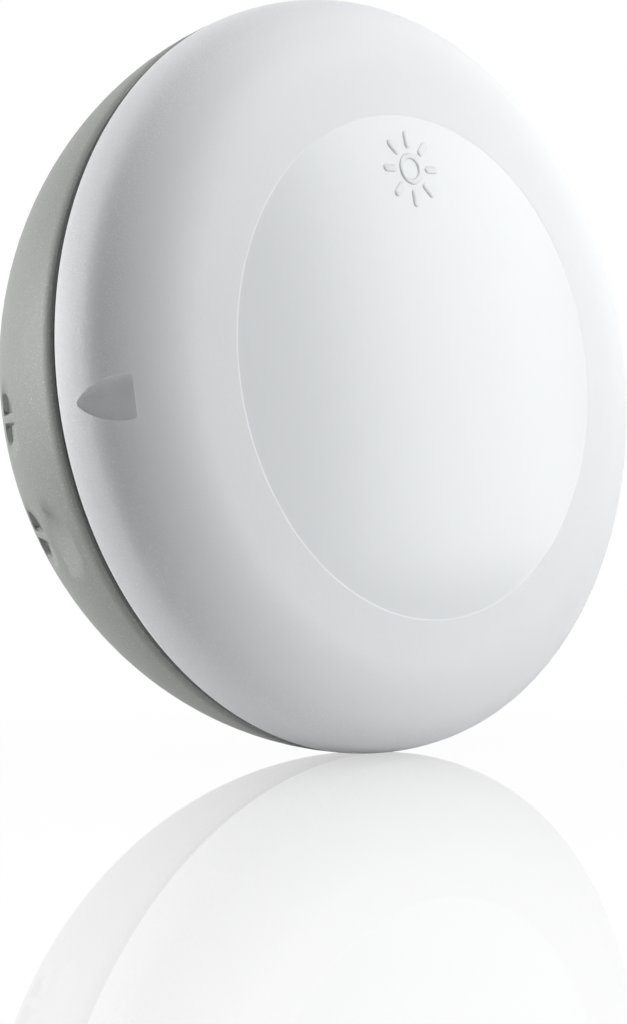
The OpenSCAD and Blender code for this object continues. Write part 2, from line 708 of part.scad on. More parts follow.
module status_led() color([0.8, 0.3, 0.25]) on_wall() {
    board_part(on_board(led_place_shares)) clear_package(led_r + plate_t, plate_t, led_r, led_h);
    leads(led_leads, board_front + cut*plate_t);
}

/* Set-up switch: housing, steel plate and sprung button */
switch_top = board_front + switch_h;
well_depth = plunger_flange_t + button_travel + 2*seat_gap;

module prog_switch() color(dark_plastic) on_wall() {
    board_part(on_board(switch_place_shares)) difference() {
        block(switch_w, switch_w, switch_h);
        translate([0, 0, switch_h - well_depth])
            cylinder(well_depth + cut, plunger_flange_r + run_fit, plunger_flange_r + run_fit);
    }
    leads(switch_legs, board_front + switch_h/2);
}

module prog_switch_plate() color(tinned) on_wall() board_part(on_board(switch_place_shares), switch_top) {
    difference() {
        block(switch_w + 2*switch_plate_t, switch_w, switch_plate_t);
        translate([0, 0, -cut]) cylinder(2*cut + switch_plate_t, plunger_r + run_fit, plunger_r + run_fit);
    }
    // Ears folded down over the housing's sides
    for (s = [-1, 1])
        translate([s*(switch_w + switch_plate_t)/2, 0, -switch_h/2])
            block(switch_plate_t, switch_w/2, switch_h/2 + switch_plate_t);
}

module prog_button() color(white_plastic) on_wall()
    board_part(on_board(switch_place_shares), switch_top - plunger_flange_t - run_fit) rotate_extrude() {
        cap_bottom = plunger_flange_t + run_fit + switch_plate_t + plunger_out;
        round = button_h/4;
        polygon(concat(
            [[0, 0], [plunger_flange_r, 0], [plunger_flange_r, plunger_flange_t],
             [plunger_r, plunger_flange_t], [plunger_r, cap_bottom], [button_r, cap_bottom]],
            arc([button_r - round, cap_bottom + button_h - round], round, 0, 90),
            [[button_r - round, cap_bottom + button_h], [0, cap_bottom + button_h]]));
    }

/* Sun-threshold trimmer: housing and dial */
module threshold_trimmer() color([0.2, 0.35, 0.6]) on_wall() {
    board_part(on_board(trimmer_place_shares)) difference() {
        block(trimmer_w, trimmer_w, trimmer_h);
        translate([0, 0, trimmer_h - dial_shaft_l - seat_gap])
            cylinder(dial_shaft_l + cut, dial_shaft_r + run_fit, dial_shaft_r + run_fit);
    }
    leads(trimmer_legs, board_front + seat_gap);
}

module threshold_dial() color(white_plastic) on_wall()
    board_part(on_board(trimmer_place_shares), board_front + trimmer_h + seat_gap) difference() {
        union() {
            cylinder(dial_h, dial_r, dial_r);
            translate([0, 0, -dial_shaft_l]) cylinder(dial_shaft_l + cut, dial_shaft_r, dial_shaft_r);
        }
        for (i = [0:flute_count - 1])
            rotate(i*360/flute_count) translate([dial_r, 0, -cut])
                cylinder(dial_h + 2*cut, flute_r, flute_r);
        // Pointer
        translate([0, 0, dial_h/2]) linear_extrude(dial_h)
            polygon(dial_r/2*[[-1/3, -1], [1/3, -1], [1/3, 1/2], [0, 1], [-1/3, 1/2]]);
    }

/* Radio */
radio_front = board_front + radio_t;
castellation_r = radio_t/2;
castellation_count = 8;
vent_r_share = 0.2;     // radius of a shield vent as a share of the shield's height

module radio_board() color([0.12, 0.25, 0.45]) on_wall() board_part([0, radio_up]) difference() {
    block(radio_w, radio_h, radio_t);
    for (s = [-1, 1], i = [1:castellation_count])
        translate([radio_w*(i/(castellation_count + 1) - 1/2), s*radio_h/2, -cut])
            cylinder(radio_t + 2*cut, castellation_r, castellation_r);
}

module shield_can() color(tinned) on_wall() board_part([0, radio_up], radio_front) {
    can_w = radio_w - 2*shield_margin;
    can_h = radio_h - 2*shield_margin;
    difference() {
        round_plate(can_w, can_h, shield_margin, shield_h);
        translate([0, 0, -cut])
            round_plate(can_w - 2*shield_t, can_h - 2*shield_t, shield_margin - shield_t,
                        shield_h - shield_t + cut);
        for (x = [-1:1], y = [-1:1])
            translate([x*can_w/4, y*can_h/4, 0])
                cylinder(shield_h + cut, vent_r_share*shield_h, vent_r_share*shield_h);
    }
}

post_r_share = 0.7;     // radius of an antenna post as a share of the wire's diameter
module antenna() color([0.8, 0.5, 0.3]) on_wall() {
    wire_depth = board_front + antenna_up;
    rotate(90 - antenna_turn/2) rotate_extrude(angle = antenna_turn)
        translate([antenna_r, wire_depth]) circle(antenna_wire/2);
    leads(antenna_feet, wire_depth + antenna_wire, post_r_share*antenna_wire);
}

/* Other board parts */
lead_flat_share = 0.15; // thickness of a flat lead as a share of its length
lead_w_share = 0.5;     // width of a flat lead as a share of the leads' pitch

module microcontroller() color(dark_plastic) on_wall() board_part(on_board(chip_place_shares)) {
    lead_t = lead_flat_share*lead_l;
    step = chip_w/(chip_leads + 1);
    translate([0, 0, lead_t]) block(chip_w, chip_w, chip_h);
    for (turn = [0:90:270], i = [1:chip_leads])
        rotate(turn) translate([chip_w/2, i*step - chip_w/2, 0]) {
            translate([lead_l/2 - lead_t, 0, 0]) block(lead_l, lead_w_share*step, lead_t);
            translate([lead_l/4 - lead_t, 0, 0]) block(lead_l/2, lead_w_share*step, chip_h/2);
        }
}

module crystal() color(tinned) on_wall() {
    board_part(on_board(crystal_place_shares)) {
        half = (crystal_l - crystal_w)/2;
        stadium(half, crystal_w/2, stand_foot_t/2);
        stadium(half, crystal_w/2 - plate_t, crystal_h);
    }
    leads(crystal_leads, board_front + plate_t);
}

module reservoir_capacitor() color(dark_plastic) on_wall() {
    crimp = cap_r/10;
    board_part(on_board(cap_place_shares)) difference() {
        rotate_extrude() polygon([[0, 0], [cap_r, 0], [cap_r, 2*crimp], [cap_r - crimp, 3*crimp],
                                  [cap_r, 4*crimp], [cap_r, cap_h - crimp], [cap_r - crimp, cap_h],
                                  [0, cap_h]]);
        for (t = [0, 90]) rotate(t) translate([0, 0, cap_h - crimp/2]) block(cap_r, crimp, crimp);
    }
    leads(cap_leads, board_front + crimp);
}

module chip_part() {
    block(smd_l, smd_w - smd_h/4, smd_h - smd_h/8);
    for (s = [-1, 1]) translate([s*(smd_l - smd_h/2)/2, 0, 0]) block(smd_h/2, smd_w, smd_h);
}

module chip_parts() color([0.55, 0.5, 0.42]) on_wall() {
    for (p = smd_place_shares) board_part(on_board(p)) chip_part();
    for (p = smd_upright_shares) board_part(on_board(p)) rotate(90) chip_part();
}

wall_base();
seal_ring();
front_cover();
circuit_board();
board_screws();
battery_holder();
upper_cell();
lower_cell();
contact_springs();
contact_plates();
sensor_stand();
light_sensor();
status_led();
prog_switch();
prog_switch_plate();
prog_button();
threshold_trimmer();
threshold_dial();
radio_board();
shield_can();
antenna();
microcontroller();
crystal();
reservoir_capacitor();
chip_parts();
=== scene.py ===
# %% [markdown]
# # A sun sensor, dressed for its picture
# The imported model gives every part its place. This script puts the real surfaces on it: a milky cover with
# a polished window, a grey moulded base, the dark seal between them and the electronics inside.
# All lengths are in metres. The wall plane is y = 0, the front looks towards -y and z points up the wall.

# %% Load the frame
import math
import bmesh
import bpy
from mathutils import Matrix, Vector


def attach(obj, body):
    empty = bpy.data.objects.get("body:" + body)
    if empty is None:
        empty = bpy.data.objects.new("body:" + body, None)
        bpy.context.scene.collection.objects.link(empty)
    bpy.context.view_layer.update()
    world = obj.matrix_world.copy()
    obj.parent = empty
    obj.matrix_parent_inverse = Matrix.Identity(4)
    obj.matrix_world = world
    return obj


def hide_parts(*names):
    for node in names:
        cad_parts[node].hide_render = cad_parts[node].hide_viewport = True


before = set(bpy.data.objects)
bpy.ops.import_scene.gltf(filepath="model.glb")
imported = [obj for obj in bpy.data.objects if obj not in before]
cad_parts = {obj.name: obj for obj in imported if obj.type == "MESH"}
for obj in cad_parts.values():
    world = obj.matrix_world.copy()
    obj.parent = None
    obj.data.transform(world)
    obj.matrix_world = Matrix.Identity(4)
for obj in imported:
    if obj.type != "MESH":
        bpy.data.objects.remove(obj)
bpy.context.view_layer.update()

MM = 0.001

# %% [markdown]
# ## The camera
# The photograph looks at the case from its left front, nearly level, with the camera tilted by 7 degrees.
# A camera could be aimed with a Track To constraint, but a tilt is easier to set as three axes: `right`,
# `up` and `back`, which are the columns of the camera's matrix.

# %% Place the camera
IMAGE_W, IMAGE_H = 627, 1024
VIEW_AZIMUTH, VIEW_ELEVATION, VIEW_ROLL = map(math.radians, (-43.008, 0.962, -7.097))
VIEW_TARGET = Vector((8.75, 0, -12.56)) * MM
VIEW_DISTANCE = 214.5 * MM
SENSOR, FOCAL_PIXELS = 36, 1476.7
CENTRE_PIXEL = (324.7, 476.9)

back = Vector((math.sin(VIEW_AZIMUTH) * math.cos(VIEW_ELEVATION),
               -math.cos(VIEW_AZIMUTH) * math.cos(VIEW_ELEVATION), math.sin(VIEW_ELEVATION)))
level = Vector((math.cos(VIEW_AZIMUTH), math.sin(VIEW_AZIMUTH), 0))
right = math.cos(VIEW_ROLL) * level + math.sin(VIEW_ROLL) * back.cross(level)
up = back.cross(right)

camera_data = bpy.data.cameras.new("camera")
camera_data.sensor_width = SENSOR
camera_data.lens = SENSOR * FOCAL_PIXELS / IMAGE_H
camera_data.shift_x = (IMAGE_W / 2 - CENTRE_PIXEL[0]) / IMAGE_H
camera_data.shift_y = (CENTRE_PIXEL[1] - IMAGE_H / 2) / IMAGE_H
camera_data.clip_start = 0.01
camera = bpy.data.objects.new("camera", camera_data)
axes = Matrix((right, up, back)).transposed().to_4x4()
camera.matrix_world = Matrix.Translation(VIEW_TARGET + VIEW_DISTANCE * back) @ axes
bpy.context.scene.collection.objects.link(camera)
bpy.context.scene.camera = camera
bpy.context.scene.view_settings.view_transform = "Standard"
print("lens", round(camera_data.lens, 2), "mm, shift",
      round(camera_data.shift_x, 4), round(camera_data.shift_y, 4))

# %% [markdown]
# ## Node groups that several finishes share
# Moulded plastic has a fine grain that the spark-eroded mould leaves in it, and small differences in gloss
# where hands have been. Both are needed in many materials, so each is a node group: built once, placed in a
# material with that material's own values. A group only puts out values that change over the surface.

# %% A helper for node groups
def new_group(name, inputs, outputs):
    """An empty shader node group with float sockets. Returns the tree, its input node and its output node."""
    tree = bpy.data.node_groups.new(name, "ShaderNodeTree")
    for label, value in inputs.items():
        socket = tree.interface.new_socket(label, in_out="INPUT", socket_type="NodeSocketFloat")
        socket.default_value = value
    for label in outputs:
        tree.interface.new_socket(label, in_out="OUTPUT", socket_type="NodeSocketFloat")
    return tree, tree.nodes.new("NodeGroupInput"), tree.nodes.new("NodeGroupOutput")


def maths(tree, operation, *values, clamp=False):
    """A Math node. Each value is a number or a socket. Returns its output."""
    node = tree.nodes.new("ShaderNodeMath")
    node.operation = operation
    node.use_clamp = clamp
    for socket, value in zip(node.inputs, values):
        if isinstance(value, (int, float)):
            socket.default_value = value
        else:
            tree.links.new(value, socket)
    return node.outputs[0]


def noise(tree, scale, detail=2.0, roughness=0.5):
    """A noise texture on Object coordinates. Returns its Fac output."""
    place = tree.nodes.new("ShaderNodeTexCoord").outputs["Object"]
    node = tree.nodes.new("ShaderNodeTexNoise")
    tree.links.new(place, node.inputs["Vector"])
    if isinstance(scale, (int, float)):
        node.inputs["Scale"].default_value = scale
    else:
        tree.links.new(scale, node.inputs["Scale"])
    node.inputs["Detail"].default_value = detail
    node.inputs["Roughness"].default_value = roughness
    return node.outputs["Fac"]


# %% Mould grain
# Height: the pits of the mould. Sparkle: the few grains that catch the light, 0 to 1.
COARSE_SCALE, COARSE_SHARE = 0.37, 0.25
SPARKLE_START, SPARKLE_WIDEN, SPARKLE_STEEP = 0.72, 0.3, 8.0
grain, grain_in, grain_out = new_group("mould grain", {"Grains per metre": 2600, "Sparkle share": 0.3},
                                       ["Height", "Sparkle"])
per_metre = grain_in.outputs["Grains per metre"]
fine = noise(grain, per_metre, 3.0, 0.65)
coarse = noise(grain, maths(grain, "MULTIPLY", per_metre, COARSE_SCALE), 1.0)
grain.links.new(maths(grain, "ADD", maths(grain, "MULTIPLY", fine, 1 - COARSE_SHARE),
                      maths(grain, "MULTIPLY", coarse, COARSE_SHARE)), grain_out.inputs["Height"])
threshold = maths(grain, "SUBTRACT", SPARKLE_START,
                  maths(grain, "MULTIPLY", grain_in.outputs["Sparkle share"], SPARKLE_WIDEN))
above = maths(grain, "SUBTRACT", fine, threshold)
grain.links.new(maths(grain, "MULTIPLY", above, SPARKLE_STEEP, clamp=True), grain_out.inputs["Sparkle"])

# %% Handling marks
# Patches: a soft, large variation, 0 to 1, that shifts the colour a little. Fine: a small one for the gloss.
FINE_PER_PATCH = 22.0
marks, marks_in, marks_out = new_group("handling marks", {"Patches per metre": 40}, ["Patches", "Fine"])
marks.links.new(noise(marks, marks_in.outputs["Patches per metre"], 4.0), marks_out.inputs["Patches"])
fine_scale = maths(marks, "MULTIPLY", marks_in.outputs["Patches per metre"], FINE_PER_PATCH)
marks.links.new(noise(marks, fine_scale, 2.0), marks_out.inputs["Fine"])
print("node groups", [group.name for group in bpy.data.node_groups])

# %% [markdown]
# ## Finishes
# Every finish is a Principled BSDF with a few values that vary over the surface: a base colour between two
# close shades, a roughness, and a bump for the grain. `finish` builds that common part. What is constant
# stays on the shader's own sockets.

# %% Helpers for materials
def put_group(material, group, **values):
    """Places a node group in a material with its own values. Returns the group node's outputs."""
    node = material.node_tree.nodes.new("ShaderNodeGroup")
    node.node_tree = group
    for label, value in values.items():
        node.inputs[label.replace("_", " ")].default_value = value
    return node.outputs


def blend_colours(tree, factor, first, second):
    """A Mix node between two colours or colour sockets. Returns its colour output."""
    node = tree.nodes.new("ShaderNodeMix")
    node.data_type = "RGBA"
    tree.links.new(factor, node.inputs["Factor"])
    for socket, colour in ((node.inputs[6], first), (node.inputs[7], second)):
        if isinstance(colour, tuple):
            socket.default_value = (*colour, 1.0)
        else:
            tree.links.new(colour, socket)
    return node.outputs[2]


def span(tree, factor, low, high):
    """A value between low and high. Returns its output."""
    return maths(tree, "MULTIPLY_ADD", factor, high - low, low)


def bump(material, height, strength, distance):
    """Feeds the shader's Normal from a height."""
    tree = material.node_tree
    node = tree.nodes.new("ShaderNodeBump")
    node.inputs["Strength"].default_value = strength
    node.inputs["Distance"].default_value = distance
    tree.links.new(height, node.inputs["Height"])
    tree.links.new(node.outputs["Normal"], tree.nodes["Principled BSDF"].inputs["Normal"])


# %% The common finish
GRAIN_STRENGTH, PALE_GRAIN = 0.6, (0.95, 0.95, 0.95)
PLAIN_SPARKLE, GLINT_SPARKLE, GLINT_GLOSS = 0.3, 0.4, -0.5


def finish(name, dark, light, rough, grain_size=2600, grain_depth=0.02, patches=40, glint=0.0, **sockets):
    """A moulded or coated surface: two close shades, a span of roughness and a fine grain that may glint."""
    material = bpy.data.materials.new(name)
    material.use_nodes = True
    tree = material.node_tree
    shader = tree.nodes["Principled BSDF"]
    handled = put_group(material, marks, Patches_per_metre=patches)
    grained = put_group(material, grain, Grains_per_metre=grain_size,
                        Sparkle_share=GLINT_SPARKLE if glint else PLAIN_SPARKLE)
    shade = blend_colours(tree, handled["Patches"], dark, light)
    if glint:
        shining = maths(tree, "MULTIPLY", grained["Sparkle"], glint)
        shade = blend_colours(tree, shining, shade, PALE_GRAIN)
    tree.links.new(shade, shader.inputs["Base Color"])
    gloss = span(tree, handled["Fine"], *rough)
    if glint:
        polish = maths(tree, "MULTIPLY_ADD", grained["Sparkle"], GLINT_GLOSS, 1.0)
        gloss = maths(tree, "MULTIPLY", gloss, polish)
    tree.links.new(gloss, shader.inputs["Roughness"])
    bump(material, grained["Height"], GRAIN_STRENGTH, grain_depth * MM)
    for label, value in sockets.items():
        shader.inputs[label.replace("_", " ")].default_value = value
    return material


# %% [markdown]
# ### The cover's plastic
# One moulding with two finishes: a fine grain all over and a polished window of 63 mm. Two materials would
# need a seam, so one material tells them apart by the distance from the axis, from Object coordinates. At
# the rim the grain is deeper, the colour is a painted shade darker, and single grains get a painted glint:
# they are painted white in their colour, and glossier. The plastic is milky: light goes in, scatters and
# comes out again, which is subsurface scattering.

# %% Places on a surface
def object_place(tree):
    """The Object coordinates, as outputs X, Y and Z."""
    place = tree.nodes.new("ShaderNodeSeparateXYZ")
    tree.links.new(tree.nodes.new("ShaderNodeTexCoord").outputs["Object"], place.inputs[0])
    return place.outputs


def axis_distance(tree):
    """The distance from the case's axis, from Object coordinates."""
    place = object_place(tree)
    return maths(tree, "SQRT", maths(tree, "ADD", maths(tree, "POWER", place["X"], 2.0),
                                     maths(tree, "POWER", place["Z"], 2.0)))


# %% Milky cover
WINDOW_R, WINDOW_EDGE, RIM_FROM, RIM_BLEND = 31.55 * MM, 0.15 * MM, 44 * MM, 2.5 * MM
# On the rim: a colour a little darker as painted shade, and a white for the painted glint of single grains.
WINDOW_COLOUR, PAINTED_RIM_SHADE, PAINTED_GLINT_COLOUR = (0.86, 0.885, 0.905), (0.83, 0.845, 0.87), (1.0, 1.0, 1.0)
WINDOW_ROUGH, GRAINED_ROUGH, GLINT_POLISH = 0.18, 0.46, -0.95
COVER_RELIEF, CHEEK_SHARE, RIM_SHARE = 0.12 * MM, 0.15, 0.8

milky = finish("milky cover plastic", (0.87, 0.885, 0.90), (0.90, 0.91, 0.92), (0.42, 0.5),
               Subsurface_Weight=0.2, Subsurface_Radius=(1.0, 0.95, 0.9), Subsurface_Scale=0.0015)
tree = milky.node_tree
shader = tree.nodes["Principled BSDF"]
past_window = maths(tree, "SUBTRACT", axis_distance(tree), WINDOW_R)
grained_area = maths(tree, "MULTIPLY", past_window, 1 / WINDOW_EDGE, clamp=True)
grained = put_group(milky, grain, Grains_per_metre=4800, Sparkle_share=0.5)
past_cheek = maths(tree, "SUBTRACT", axis_distance(tree), RIM_FROM)
rim_area = maths(tree, "DIVIDE", past_cheek, RIM_BLEND, clamp=True)
bump(milky, maths(tree, "MULTIPLY", maths(tree, "MULTIPLY", grained["Height"], grained_area),
                  span(tree, rim_area, CHEEK_SHARE, RIM_SHARE)), 1.0, COVER_RELIEF)
# Painted glint: single grains on the rim, painted white below and given a lower roughness.
painted_and_polished_glints = maths(tree, "MULTIPLY", grained["Sparkle"], rim_area)
dulled = maths(tree, "MULTIPLY", grained_area, maths(tree, "MULTIPLY_ADD", painted_and_polished_glints, GLINT_POLISH, 1.0))
tree.links.new(span(tree, dulled, WINDOW_ROUGH, GRAINED_ROUGH), shader.inputs["Roughness"])
shade = shader.inputs["Base Color"].links[0].from_socket
# Painted shade on the rim's colour, then a painted glint in white on its single grains.
shade = blend_colours(tree, rim_area, shade, PAINTED_RIM_SHADE)
shade = blend_colours(tree, painted_and_polished_glints, shade, PAINTED_GLINT_COLOUR)
tree.links.new(blend_colours(tree, grained_area, WINDOW_COLOUR, shade), shader.inputs["Base Color"])
print("cover finish", len(tree.nodes), "nodes")

# %% The other moulded plastics and the seal
base_grey = finish("silver grey base plastic", (0.275, 0.285, 0.273), (0.30, 0.31, 0.297), (0.44, 0.54),
                   grain_size=5200, grain_depth=0.1, glint=0.5, Metallic=0.08, IOR=1.38)
seal_black = finish("dark seal", (0.018, 0.017, 0.015), (0.03, 0.028, 0.024), (0.5, 0.65))
black_plastic = finish("black moulded plastic", (0.012, 0.012, 0.013), (0.02, 0.02, 0.022), (0.4, 0.55))
white_plastic = finish("white moulded plastic", (0.72, 0.72, 0.69), (0.78, 0.78, 0.75), (0.35, 0.5))
blue_plastic = finish("blue trimmer plastic", (0.02, 0.08, 0.3), (0.03, 0.1, 0.36), (0.35, 0.5))

# %% [markdown]
# ### Metals, sleeves and clear parts
# Tinned steel and copper are plain metals with a slightly uneven gloss. A cell has a printed sleeve with a
# copper-coloured band at its plus end, told apart by how far along the cell a point lies. Epoxy is glass-like
# with a soft surface. The board's lacquer shows its copper tracks as slightly lighter lines.

# %% Metals
tinned = finish("tinned steel", (0.50, 0.50, 0.51), (0.62, 0.62, 0.63), (0.22, 0.4),
                patches=300, Metallic=1.0)
copper = finish("copper wire", (0.72, 0.33, 0.17), (0.80, 0.42, 0.24), (0.2, 0.34),
                patches=300, Metallic=1.0)
ceramic = finish("chip ceramic", (0.16, 0.12, 0.08), (0.42, 0.36, 0.27), (0.35, 0.55), patches=500)

# %% Printed cells
SLEEVE_MIDDLE, SLEEVE_HALF, BAND_FROM = 1 * MM, 21.2 * MM, 11 * MM
BAND_COLOUR, STEEL_COLOUR, BAND_METAL = (0.55, 0.24, 0.1), (0.6, 0.6, 0.61), 0.7


def cell_finish(name, plus_side):
    """A sleeve with a band at the plus end. plus_side is 1 where the nub points to +x, or else -1."""
    material = finish(name, (0.015, 0.035, 0.11), (0.02, 0.05, 0.14), (0.2, 0.3), Coat_Weight=0.4)
    tree = material.node_tree
    shader = tree.nodes["Principled BSDF"]
    sleeve = shader.inputs["Base Color"].links[0].from_socket
    across = maths(tree, "MULTIPLY", object_place(tree)["X"], plus_side)
    band = maths(tree, "GREATER_THAN", across, BAND_FROM)
    off_middle = maths(tree, "ABSOLUTE", maths(tree, "SUBTRACT", across, SLEEVE_MIDDLE))
    bare = maths(tree, "GREATER_THAN", off_middle, SLEEVE_HALF)
    printed = blend_colours(tree, band, sleeve, BAND_COLOUR)
    tree.links.new(blend_colours(tree, bare, printed, STEEL_COLOUR), shader.inputs["Base Color"])
    tree.links.new(maths(tree, "MAXIMUM", bare, maths(tree, "MULTIPLY", band, BAND_METAL)),
                   shader.inputs["Metallic"])
    return material


upper_sleeve = cell_finish("upper cell sleeve", 1)
lower_sleeve = cell_finish("lower cell sleeve", -1)

# %% Epoxy and board
TRACK_SHARE = 0.8
TRACK_GRID = {"Scale": 60, "Mortar Size": 0.012, "Brick Width": 0.5, "Row Height": 0.12}

clear_epoxy = finish("clear epoxy", (0.86, 0.9, 0.92), (0.9, 0.93, 0.95), (0.06, 0.12),
                     Transmission_Weight=0.85, IOR=1.52)
red_epoxy = finish("red epoxy", (0.6, 0.04, 0.03), (0.7, 0.06, 0.04), (0.08, 0.14),
                   Transmission_Weight=0.4, IOR=1.52)


def board_finish(name, dark, light, track):
    """Lacquered board with lighter tracks under the lacquer."""
    material = finish(name, dark, light, (0.25, 0.36), Coat_Weight=0.3)
    tree = material.node_tree
    shader = tree.nodes["Principled BSDF"]
    lacquer = shader.inputs["Base Color"].links[0].from_socket
    turn = tree.nodes.new("ShaderNodeMapping")
    turn.inputs["Rotation"].default_value = (math.radians(90), 0, 0)
    tree.links.new(tree.nodes.new("ShaderNodeTexCoord").outputs["Object"], turn.inputs["Vector"])
    tracks = tree.nodes.new("ShaderNodeTexBrick")
    tree.links.new(turn.outputs[0], tracks.inputs["Vector"])
    for label, value in TRACK_GRID.items():
        tracks.inputs[label].default_value = value
    shown = maths(tree, "MULTIPLY", tracks.outputs["Fac"], TRACK_SHARE)
    tree.links.new(blend_colours(tree, shown, lacquer, track), shader.inputs["Base Color"])
    return material


green_board = board_finish("green board", (0.012, 0.075, 0.03), (0.016, 0.09, 0.036), (0.03, 0.16, 0.07))
blue_board = board_finish("blue board", (0.01, 0.03, 0.11), (0.014, 0.036, 0.13), (0.02, 0.07, 0.2))
print("finishes", len(bpy.data.materials))

# %% [markdown]
# ## Turned pieces by Geometry Nodes
# The cover and its seal are bodies of revolution, so each follows one rule: a profile swept round an axis.
# Spin or the Screw modifier could do it too. A node tree keeps the rule editable by its named inputs: the
# profile comes in as a chain of edges, is swept along a circle, and its doubled points at the pole are
# merged. The tree ends in Realize Instances and Set Material, because only real meshes are exported.

# %% Helpers for Geometry Nodes
def node_tree_with(name, inputs):
    """A Geometry Nodes tree with named inputs. Returns the tree, its input node and its output node."""
    tree = bpy.data.node_groups.new(name, "GeometryNodeTree")
    tree.interface.new_socket("Geometry", in_out="INPUT", socket_type="NodeSocketGeometry")
    for label, kind in inputs.items():
        tree.interface.new_socket(label, in_out="INPUT", socket_type="NodeSocket" + kind)
    tree.interface.new_socket("Geometry", in_out="OUTPUT", socket_type="NodeSocketGeometry")
    return tree, tree.nodes.new("NodeGroupInput"), tree.nodes.new("NodeGroupOutput")


def chain(tree, first, *kinds):
    """Links geometry from the socket `first` through new nodes of these kinds. Returns the nodes."""
    made = []
    for kind in kinds:
        node = tree.nodes.new("GeometryNode" + kind)
        tree.links.new(first, node.inputs[0])
        first = node.outputs[0]
        made.append(node)
    return made


def run_tree(obj, tree, **values):
    """Runs a tree on obj with these input values, and makes its result obj's plain mesh."""
    modifier = obj.modifiers.new("nodes", "NODES")
    modifier.node_group = tree
    for item in tree.interface.items_tree:
        key = item.name.replace(" ", "_")
        if item.in_out == "INPUT" and key in values:
            modifier[item.identifier] = values[key]
    return settle(obj)


def settle(obj):
    """Makes what obj's modifiers give its plain mesh, and removes them."""
    bpy.context.view_layer.update()
    evaluated = obj.evaluated_get(bpy.context.evaluated_depsgraph_get())
    mesh = bpy.data.meshes.new_from_object(evaluated, preserve_all_data_layers=True,
                                           depsgraph=bpy.context.evaluated_depsgraph_get())
    obj.modifiers.clear()
    obj.data = mesh
    mesh.name = obj.name
    return obj


def new_object(name, points, edges=(), faces=()):
    """A mesh object in the scene, its points in metres."""
    mesh = bpy.data.meshes.new(name)
    mesh.from_pydata([tuple(p) for p in points], list(edges), list(faces))
    obj = bpy.data.objects.new(name, mesh)
    bpy.context.scene.collection.objects.link(obj)
    return obj


SHARP_DEGREES, DOUBLES = 32, 0.0005 * MM


def tidy_normals(obj, sharp_degrees=SHARP_DEGREES):
    """Merges doubles, turns the faces outwards and smooths all edges but the sharp ones."""
    work = bmesh.new()
    work.from_mesh(obj.data)
    bmesh.ops.remove_doubles(work, verts=work.verts, dist=DOUBLES)
    bmesh.ops.dissolve_degenerate(work, edges=work.edges, dist=DOUBLES)
    bmesh.ops.recalc_face_normals(work, faces=work.faces)
    work.to_mesh(obj.data)
    work.free()
    obj.data.shade_smooth()
    obj.data.set_sharp_from_angle(angle=math.radians(sharp_degrees))
    return obj


# %% The turning tree
turning, turn_in, turn_out = node_tree_with(
    "turned piece", {"Path radius": "Float", "Steps round": "Int", "Finish": "Material"})
circle = turning.nodes.new("GeometryNodeCurvePrimitiveCircle")
turning.links.new(turn_in.outputs["Steps round"], circle.inputs["Resolution"])
turning.links.new(turn_in.outputs["Path radius"], circle.inputs["Radius"])
profile, = chain(turning, turn_in.outputs["Geometry"], "MeshToCurve")
sweep, merge, stand, _, _, paint = chain(
    turning, circle.outputs[0], "CurveToMesh", "MergeByDistance", "Transform", "RealizeInstances",
    "SetShadeSmooth", "SetMaterial")
turning.links.new(profile.outputs[0], sweep.inputs["Profile Curve"])
merge.inputs["Distance"].default_value = 0.001 * MM
stand.inputs["Rotation"].default_value = (math.radians(90), 0, 0)
turning.links.new(turn_in.outputs["Finish"], paint.inputs["Material"])
turning.links.new(paint.outputs[0], turn_out.inputs[0])


def turned(name, points, material, steps=384, closed=False):
    """A turned piece. Points are (radius, depth out from the wall) in millimetres, along the profile."""
    path = max(r for r, d in points)
    edges = [(i, i + 1) for i in range(len(points) - 1)] + ([(len(points) - 1, 0)] if closed else [])
    obj = new_object(name, [((r - path) * MM, -d * MM, 0) for r, d in points], edges)
    return run_tree(obj, turning, Path_radius=path * MM, Steps_round=steps, Finish=material)


def arc(centre, radius, start, end, steps):
    """Points of an arc, both ends included. Angles in degrees, 0 outwards and 90 to the front."""
    turns = [math.radians(start + (end - start) * i / steps) for i in range(steps + 1)]
    return [(centre[0] + radius * math.cos(t), centre[1] + radius * math.sin(t)) for t in turns]


# %% [markdown]
# ### The cover's profile
# Four arcs that run into each other without a corner: a steep side, a tight shoulder, a flatter cheek and
# the shallow dome. The polished window lies 0.15 mm lower. The dome leans in by most of that on its way to
# the window, and a small soft step does the rest, so only a fine line of light shows at the window's edge.

# %% The cover
RIM_R, RIM_DEPTH, WALL = 48.5, 20.7, 2.2
SIDE_R, SIDE_TURN, SHOULDER_R, SHOULDER_TURN, CHEEK_R, DOME_R = 14, 18, 5.5, 45, 14.3, 500
WINDOW_SINK, STEP_W, LEAN_SHARE, LIP, LIP_ROUND, SIDE_START = 0.15, 0.3, 0.8, 0.3, 0.28, 1.4


def polar(angle, radius):
    """A point at this angle and distance from the origin."""
    return Vector((math.cos(math.radians(angle)), math.sin(math.radians(angle)))) * radius


side_centre = Vector((RIM_R - SIDE_R, RIM_DEPTH))
shoulder_centre = side_centre + polar(SIDE_TURN, SIDE_R - SHOULDER_R)
cheek_centre = shoulder_centre + polar(SHOULDER_TURN, SHOULDER_R - CHEEK_R)
dome_centre = Vector((0, cheek_centre.y - math.sqrt((DOME_R - CHEEK_R) ** 2 - cheek_centre.x ** 2)))
cheek_turn = math.degrees(math.atan2(cheek_centre.y - dome_centre.y, cheek_centre.x))


def dome_depth(radius, sink=0.0):
    """Depth of the dome, or of the sunk window, at a distance from the axis, in millimetres."""
    return dome_centre.y + math.sqrt((DOME_R - sink) ** 2 - radius ** 2)


